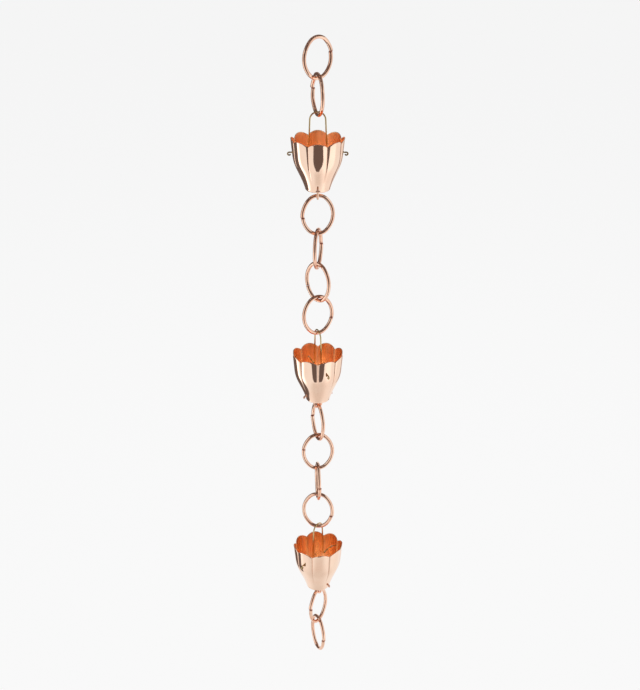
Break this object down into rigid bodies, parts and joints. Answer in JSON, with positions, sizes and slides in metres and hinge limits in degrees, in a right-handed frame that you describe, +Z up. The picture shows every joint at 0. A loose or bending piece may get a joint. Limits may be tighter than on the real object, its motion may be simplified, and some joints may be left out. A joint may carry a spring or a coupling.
{
  "type": "rain chain",
  "caption": "Hanging rain chain of oval copper wire links and tulip-shaped copper cups on thin wire bails, which leads roof water down in place of a downpipe.",
  "frame": {"origin": "where a hook bears, under the top wire of the first link", "axes": "+Z up along the hanging chain, +X across the picture to the right, +Y away from its viewer"},
  "size_m": [0.072, 0.0666, 0.828],
  "materials": {
    "link_copper": "bright drawn copper wire",
    "cup_copper": "polished copper sheet",
    "bail_brass": "drawn brass wire"
  },
  "bodies": {
    "link_01": {"link_01": "link_copper"},
    "link_02": {"link_02": "link_copper"},
    "bail_upper": {"bail_upper": "bail_brass"},
    "cup_upper": {"cup_upper": "cup_copper", "eye_upper": "link_copper"},
    "link_03": {"link_03": "link_copper"},
    "link_04": {"link_04": "link_copper"},
    "link_05": {"link_05": "link_copper"},
    "link_06": {"link_06": "link_copper"},
    "bail_middle": {"bail_middle": "bail_brass"},
    "cup_middle": {"cup_middle": "cup_copper", "eye_middle": "link_copper"},
    "link_07": {"link_07": "link_copper"},
    "link_08": {"link_08": "link_copper"},
    "link_09": {"link_09": "link_copper"},
    "link_10": {"link_10": "link_copper"},
    "bail_lower": {"bail_lower": "bail_brass"},
    "cup_lower": {"cup_lower": "cup_copper", "eye_lower": "link_copper"},
    "link_11": {"link_11": "link_copper"},
    "link_12": {"link_12": "link_copper"}
  },
  "joints": [
    {"name": "link_02_swing", "type": "hinge", "parent": "link_01", "child": "link_02", "pos_m": [0, 0, -0.04525], "axis": [0.829, 0.5592, 0], "range_deg": [-60, 60]},
    {"name": "bail_upper_swing", "type": "hinge", "parent": "link_02", "child": "bail_upper", "pos_m": [0, 0, -0.08795], "axis": [-0.3173, 0.9483, 0], "range_deg": [-60, 60]},
    {"name": "cup_upper_tip", "type": "hinge", "parent": "bail_upper", "child": "cup_upper", "pos_m": [0, 0, -0.1325], "axis": [-1, 0, 0], "range_deg": [-50, 50]},
    {"name": "link_03_swing", "type": "hinge", "parent": "cup_upper", "child": "link_03", "pos_m": [0, 0, -0.1891], "axis": [0, -1, 0], "range_deg": [-50, 50]},
    {"name": "link_04_swing", "type": "hinge", "parent": "link_03", "child": "link_04", "pos_m": [0, 0, -0.23275], "axis": [-0.9799, -0.1994, 0], "range_deg": [-60, 60]},
    {"name": "link_05_swing", "type": "hinge", "parent": "link_04", "child": "link_05", "pos_m": [0, 0, -0.27545], "axis": [0.2079, 0.9781, 0], "range_deg": [-60, 60]},
    {"name": "link_06_swing", "type": "hinge", "parent": "link_05", "child": "link_06", "pos_m": [0, 0, -0.31815], "axis": [0.7193, -0.6947, 0], "range_deg": [-60, 60]},
    {"name": "bail_middle_swing", "type": "hinge", "parent": "link_06", "child": "bail_middle", "pos_m": [0, 0, -0.36085], "axis": [-0.9239, -0.3827, 0], "range_deg": [-60, 60]},
    {"name": "cup_middle_tip", "type": "hinge", "parent": "bail_middle", "child": "cup_middle", "pos_m": [0, 0, -0.4054], "axis": [0.3827, -0.9239, 0], "range_deg": [-50, 50]},
    {"name": "link_07_swing", "type": "hinge", "parent": "cup_middle", "child": "link_07", "pos_m": [0, 0, -0.462], "axis": [0.9239, 0.3827, 0], "range_deg": [-50, 50]},
    {"name": "link_08_swing", "type": "hinge", "parent": "link_07", "child": "link_08", "pos_m": [0, 0, -0.50565], "axis": [0.3502, -0.9367, 0], "range_deg": [-60, 60]},
    {"name": "link_09_swing", "type": "hinge", "parent": "link_08", "child": "link_09", "pos_m": [0, 0, -0.54835], "axis": [0.9925, 0.1219, 0], "range_deg": [-60, 60]},
    {"name": "link_10_swing", "type": "hinge", "parent": "link_09", "child": "link_10", "pos_m": [0, 0, -0.59105], "axis": [0.0958, -0.9954, 0], "range_deg": [-60, 60]},
    {"name": "bail_lower_swing", "type": "hinge", "parent": "link_10", "child": "bail_lower", "pos_m": [0, 0, -0.63375], "axis": [0.9903, -0.1392, 0], "range_deg": [-60, 60]},
    {"name": "cup_lower_tip", "type": "hinge", "parent": "bail_lower", "child": "cup_lower", "pos_m": [0, 0, -0.6783], "axis": [-0.6088, -0.7934, 0], "range_deg": [-50, 50]},
    {"name": "link_11_swing", "type": "hinge", "parent": "cup_lower", "child": "link_11", "pos_m": [0, 0, -0.7349], "axis": [0.7934, -0.6088, 0], "range_deg": [-50, 50]},
    {"name": "link_12_swing", "type": "hinge", "parent": "link_11", "child": "link_12", "pos_m": [0, 0, -0.77855], "axis": [-0.5299, -0.848, 0], "range_deg": [-60, 60]}
  ]
}
